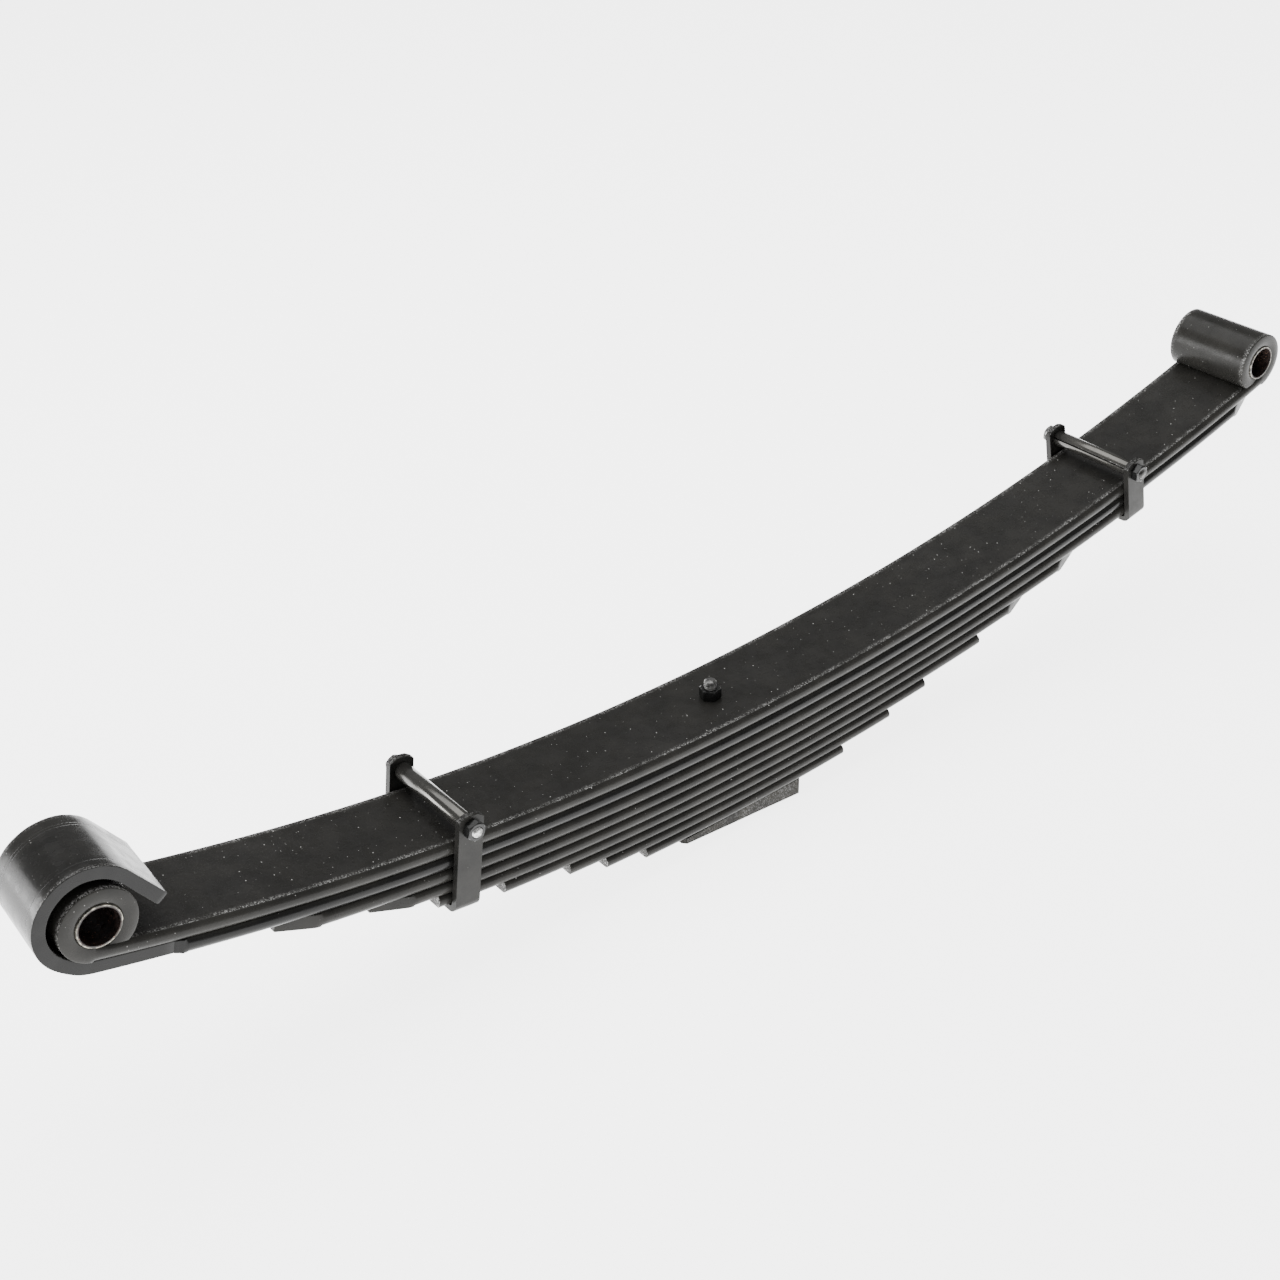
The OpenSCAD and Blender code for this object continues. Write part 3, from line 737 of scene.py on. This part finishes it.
def paint(
    name, dark, light, rough, dust, wear_and_highlight=0.22, grooves_and_side_shade=False, attribute=True, metal=0.0, shine=0.5
):
    """Satin paint with mottling, dust specks on what faces up, pits, and lighter corners that are partly
    worn paint and partly a painted highlight; the wrap also gets grooves and painted shade on its side
    faces.
    """
    n = Nodes(name)
    where = rest_place(n, attribute)
    mottle = n.ramp(n.noise(where, 45, 4), 0.3, 0.7)
    fine = n.noise(where, 420, 3)
    colour = n.mix(mottle, dark, light)
    normal = n.add("ShaderNodeNewGeometry").outputs["Normal"]
    up = n.add("ShaderNodeSeparateXYZ", {0: normal}).outputs["Z"]
    faces_up = n.ramp(up, 0.55, 0.9)
    haze = n.math("MULTIPLY", n.ramp(n.noise(where, 14, 5), 0.45, 0.75), faces_up)
    colour = n.mix(n.math("MULTIPLY", haze, 0.03 * dust), colour, grey(0.16))
    large, small = n.specks(where, 6.0 * MM, 0.5 * MM, 0.4), n.specks(where, 3.2 * MM, 0.27 * MM, 0.34)
    dots = n.math("MAXIMUM", large, small)
    dots = n.math("MULTIPLY", dots, n.ramp(faces_up, 0.0, 1.0, 0.25, 1.0))
    colour = n.mix(n.math("MULTIPLY", dots, 0.75 * dust), colour, grey(0.6, 0.03))
    # lighter corners: partly chipped paint, partly a painted highlight along the edges and chamfers
    edge = n.add("ShaderNodeAttribute", attribute_name="edge").outputs["Fac"]
    chips = n.ramp(n.noise(where, 900, 4, 0.7), 0.47, 0.62)
    patchy = n.ramp(n.noise(where, 60, 2), 0.35, 0.6, 0.25, 1.0)
    worn_and_highlight = n.math("MULTIPLY", n.math("MULTIPLY", n.ramp(edge, 0.4, 0.95), chips), patchy)
    colour = n.mix(n.math("MULTIPLY", worn_and_highlight, 0.8), colour, grey(wear_and_highlight, 0.02))
    dark_spots = n.specks(where, 9 * MM, 0.9 * MM, 0.35)
    colour = n.mix(n.math("MULTIPLY", dark_spots, 0.6), colour, grey(0.006))
    spread = n.ramp(n.noise(where, 120, 4), 0.3, 0.7, rough - 0.05, rough + 0.07)
    n.put(n.shader.inputs["Roughness"], n.math("ADD", spread, n.math("MULTIPLY", worn_and_highlight, 0.12)))
    n.shader.inputs["Metallic"].default_value = metal
    n.shader.inputs["Specular IOR Level"].default_value = shine
    grain = n.math("MULTIPLY", n.noise(where, 1500, 2), 0.25)
    height = n.math("ADD", n.math("MULTIPLY", fine, 0.35), grain)
    height = n.math("ADD", height, n.math("MULTIPLY", dots, 0.8))
    height = n.math("SUBTRACT", height, n.math("MULTIPLY", dark_spots, 0.7))
    if grooves_and_side_shade:
        height = n.math("SUBTRACT", height, groove_lines(n, where))
        # painted shade: the wrap's side faces are darkened nearly to black
        colour = n.mix(n.math("MULTIPLY", shaded_side_face(n), 0.75), colour, grey(0.003))
    n.put(n.shader.inputs["Base Color"], colour)
    bump = n.add("ShaderNodeBump", {"Height": height, "Strength": 0.35, "Distance": 0.12 * MM})
    n.put(n.shader.inputs["Normal"], bump.outputs["Normal"])
    return n.material


def shaded_side_face(n):
    """1 on the sheared faces across the leaf's width, 0 on its rolled faces; these get the wrap's painted
    shade.
    """
    normal = n.add("ShaderNodeNewGeometry").outputs["Normal"]
    across = n.add("ShaderNodeSeparateXYZ", {0: normal}).outputs["Y"]
    return n.ramp(n.math("ABSOLUTE", across), 0.6, 0.9)


def groove_lines(n, where):
    """Thin rolled lines round the wrap, two towards its far side and one towards its near side."""
    tag = n.add("ShaderNodeAttribute", attribute_name="tag").outputs["Fac"]
    y = n.add("ShaderNodeSeparateXYZ", {0: where}).outputs["Y"]
    y = n.math("ADD", y, n.math("MULTIPLY", n.math("SUBTRACT", n.noise(where, 25, 2), 0.5), 0.8 * MM))
    lines = None
    for place, width in GROOVES:
        off = n.math("ABSOLUTE", n.math("SUBTRACT", y, place))
        line = n.ramp(off, 0.0, width, 1.0, 0.0)
        lines = line if lines is None else n.math("MAXIMUM", lines, line)
    return n.math("MULTIPLY", n.math("MULTIPLY", lines, tag), 5.0)


def bare_metal(name, colour, dirt, rough, soiled):
    """Worn steel with grime in patches and fine marks."""
    n = Nodes(name)
    where = rest_place(n)
    grime = n.ramp(n.noise(where, 260, 4, 0.65), 0.62 - 0.4 * soiled, 0.75 - 0.25 * soiled)
    n.put(n.shader.inputs["Base Color"], n.mix(grime, colour, dirt))
    n.put(n.shader.inputs["Metallic"], n.ramp(grime, 0.0, 1.0, 1.0, 0.25))
    spread = n.ramp(n.noise(where, 700, 3), 0.2, 0.8, rough - 0.08, rough + 0.15)
    n.put(n.shader.inputs["Roughness"], spread)
    bump = n.add(
        "ShaderNodeBump", {"Height": n.noise(where, 1300, 4, 0.7), "Strength": 0.5, "Distance": 0.1 * MM}
    )
    n.put(n.shader.inputs["Normal"], bump.outputs["Normal"])
    return n.material


def bronze():
    """Reddish-brown porous lining with bright grains, painted nearly black as the shade inside the bore.
    """
    n = Nodes("bronze")
    where = rest_place(n, attribute=False)
    tone = n.ramp(n.noise(where, 300, 5, 0.7), 0.35, 0.65)
    # painted shade: the lining's colour is kept nearly black to stand for the shade inside the bore
    colour = n.mix(tone, (0.004, 0.003, 0.003, 1), (0.022, 0.010, 0.007, 1))
    grains = n.specks(where, 2.2 * MM, 0.5 * MM, 0.5)
    colour = n.mix(n.math("MULTIPLY", grains, 0.5), colour, (0.30, 0.16, 0.10, 1))
    n.put(n.shader.inputs["Base Color"], colour)
    n.shader.inputs["Metallic"].default_value = 0.3
    n.put(n.shader.inputs["Roughness"], n.ramp(tone, 0, 1, 0.4, 0.65))
    bump = n.add(
        "ShaderNodeBump", {"Height": n.noise(where, 600, 5, 0.7), "Strength": 0.8, "Distance": 0.3 * MM}
    )
    n.put(n.shader.inputs["Normal"], bump.outputs["Normal"])
    return n.material


def make_materials():
    return {
        "leaf": paint(
            "leaf_paint", grey(0.015, 0.08), grey(0.021, 0.10), 0.28, dust=1.3, wear_and_highlight=0.42, shine=0.12
        ),
        "wrap": paint(
            "wrap_paint", grey(0.013, 0.06), grey(0.021, 0.08), 0.24, dust=0.5, grooves_and_side_shade=True, shine=0.16
        ),
        "clip": paint(
            "clip_paint", grey(0.013, 0.06), grey(0.022, 0.08), 0.36, dust=0.35, wear_and_highlight=0.24, shine=0.12
        ),
        "rivet": paint("rivet_paint", grey(0.02), grey(0.03), 0.4, dust=0.3, attribute=False),
        "black": paint("nut_paint", grey(0.005), grey(0.009), 0.2, dust=0.05, wear_and_highlight=0.14, shine=0.3),
        "tube": paint(
            "tube_paint", grey(0.07, 0.06), grey(0.10, 0.08), 0.2, dust=0.1, wear_and_highlight=0.25, metal=0.8
        ),
        "plate": paint(
            "plate_paint", grey(0.006, 0.2), grey(0.013, 0.35), 0.5, dust=0.15, wear_and_highlight=0.12, shine=0.1
        ),
        "bright_bolt": bare_metal("bright_bolt", grey(0.5, 0.01), grey(0.12, 0.05), 0.3, 0.5),
        "worn_bolt": bare_metal("worn_bolt", grey(0.2, 0.03), grey(0.02, 0.05), 0.35, 0.8),
        "centre_thread": bare_metal("centre_thread", grey(0.2, 0.02), grey(0.02, 0.05), 0.3, 0.6),
        "bush_steel": bare_metal("bush_rim", grey(0.3, 0.16), grey(0.03, 0.2), 0.3, 0.7),
        "bronze": bronze(),
    }


# ---------------------------------------------------------------- camera, floor and light
def make_camera():
    azimuth, elevation, roll = (math.radians(a) for a in CAMERA_TURN)
    flat = math.cos(elevation)
    ahead = Vector((-math.sin(azimuth) * flat, math.cos(azimuth) * flat, -math.sin(elevation)))
    level = Vector((math.cos(azimuth), math.sin(azimuth), 0))
    up = level.cross(ahead)
    right = level * math.cos(roll) + up * math.sin(roll)
    top = up * math.cos(roll) - level * math.sin(roll)
    data = bpy.data.cameras.new("camera")
    data.lens, data.sensor_width = CAMERA_LENS, CAMERA_SENSOR
    data.clip_start, data.clip_end = 0.05, 20
    camera = bpy.data.objects.new("camera", data)
    turn = Matrix((right, top, -ahead)).transposed().to_4x4()
    camera.matrix_world = Matrix.Translation(CAMERA_PLACE) @ turn
    bpy.context.scene.collection.objects.link(camera)
    bpy.context.scene.camera = camera


def area_light(name, place, target, size, power):
    data = bpy.data.lights.new(name, "AREA")
    data.energy, data.size = power, size
    light = bpy.data.objects.new(name, data)
    light.location = place
    light.rotation_mode = "QUATERNION"
    light.rotation_quaternion = (Vector(target) - Vector(place)).to_track_quat("-Z", "Y")
    bpy.context.scene.collection.objects.link(light)


def make_stage():
    floor_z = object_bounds()[0].z - 0.2 * MM
    corners = [(x * FLOOR_HALF, y * FLOOR_HALF, floor_z) for x, y in ((-1, -1), (1, -1), (1, 1), (-1, 1))]
    mesh = bpy.data.meshes.new("floor")
    mesh.from_pydata(corners, [], [(0, 1, 2, 3)])
    floor = bpy.data.objects.new("floor", mesh)
    bpy.context.scene.collection.objects.link(floor)
    n = Nodes("floor_paper")
    n.shader.inputs["Base Color"].default_value = (0.9, 0.9, 0.9, 1)
    n.shader.inputs["Roughness"].default_value = 0.9
    n.shader.inputs["Specular IOR Level"].default_value = 0.1
    n.shader.inputs["Emission Color"].default_value = (1.0, 1.0, 1.0, 1)
    n.shader.inputs["Emission Strength"].default_value = FLOOR_GLOW
    mesh.materials.append(n.material)
    world = bpy.data.worlds.new("studio")
    bpy.context.scene.world = world
    world.use_nodes = True
    background = world.node_tree.nodes["Background"]
    background.inputs[0].default_value = (1.0, 1.0, 1.0, 1)
    background.inputs[1].default_value = WORLD_GLOW
    area_light("overhead", (0.1, 0.5, 2.2), (0, 0, 0), 2.2, 58)
    area_light("left", (-2.0, 1.2, 0.2), (-0.45, 0, 0.15), 1.2, 75)


# ---------------------------------------------------------------- assembly
make_camera()
MATERIALS = make_materials()
main_leaf("front")
main_leaf("rear")
wrapper_front()
wrapper_rear()
for arm_name, ends in LEAF_ENDS.items():
    for number, end_mm in enumerate(ends, start=3):
        plain_leaf(arm_name, number, end_mm * MM, (arm_name, number) in DIAMOND)
for arm_name in ("front", "rear"):
    clip_strap(arm_name)
    clip_bolt(arm_name)
    bush(arm_name)
    repaint(f"{arm_name}_clip_rivet", "rivet")
centre_fasteners()
taper_plate()
make_stage()
